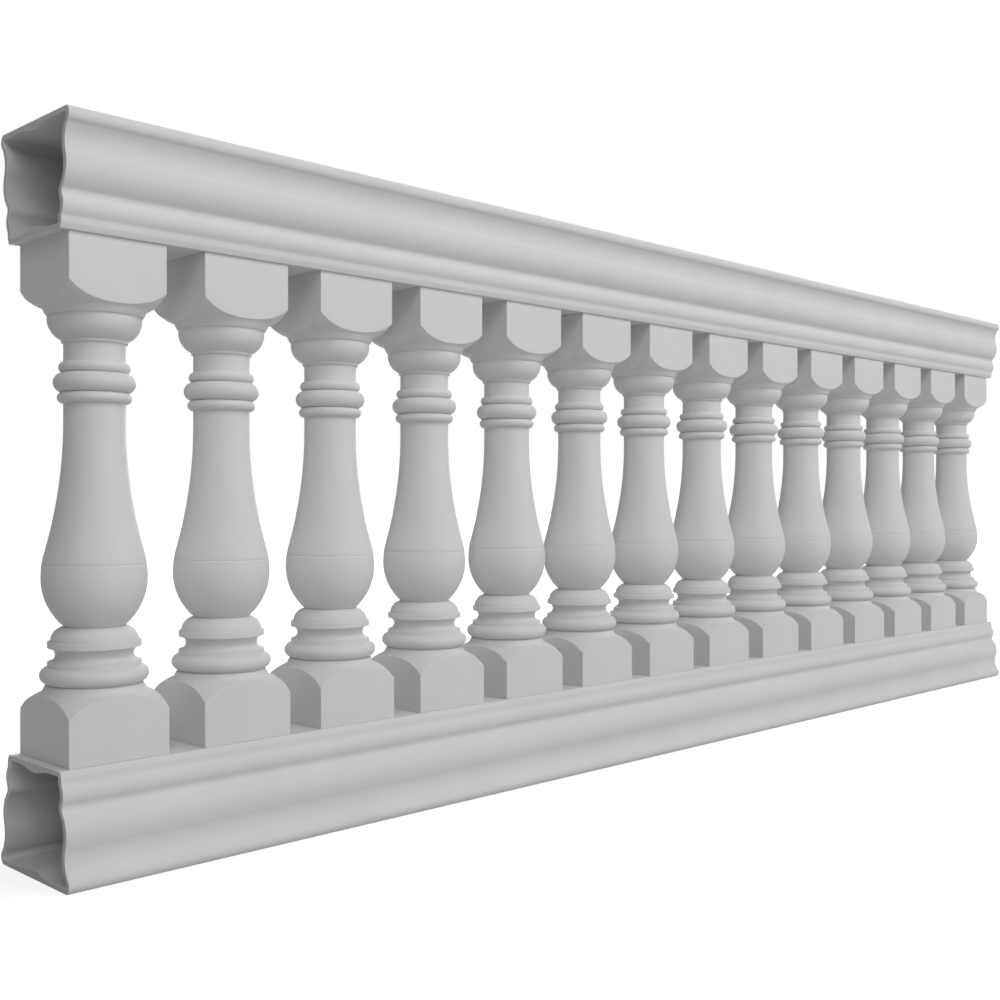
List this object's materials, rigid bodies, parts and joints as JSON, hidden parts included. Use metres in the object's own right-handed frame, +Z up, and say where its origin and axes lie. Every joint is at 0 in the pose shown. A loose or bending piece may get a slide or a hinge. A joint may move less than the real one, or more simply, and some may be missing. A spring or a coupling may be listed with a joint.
{
  "type": "fiberglass balustrade panel",
  "caption": "Straight balustrade panel: turned vase balusters with square block ends between two hollow moulded rails with open ends.",
  "frame": {"origin": "middle of the panel's length and depth, on the underside of the bottom rail", "axes": "+X along the rails, +Y through the panel's depth, +Z up"},
  "size_m": [2.54, 0.1852, 0.9144],
  "materials": {
    "rail_gelcoat": "smooth matte pale grey gelcoat over a fiberglass laminate",
    "baluster_gelcoat": "smooth matte pale grey gelcoat over a fiberglass laminate"
  },
  "bodies": {
    "root": {"bottom_rail": "rail_gelcoat", "top_rail": "rail_gelcoat", "baluster_01": "baluster_gelcoat", "baluster_02": "baluster_gelcoat", "baluster_03": "baluster_gelcoat", "baluster_04": "baluster_gelcoat", "baluster_05": "baluster_gelcoat", "baluster_06": "baluster_gelcoat", "baluster_07": "baluster_gelcoat", "baluster_08": "baluster_gelcoat", "baluster_09": "baluster_gelcoat", "baluster_10": "baluster_gelcoat", "baluster_11": "baluster_gelcoat", "baluster_12": "baluster_gelcoat", "baluster_13": "baluster_gelcoat", "baluster_14": "baluster_gelcoat"}
  },
  "joints": []
}
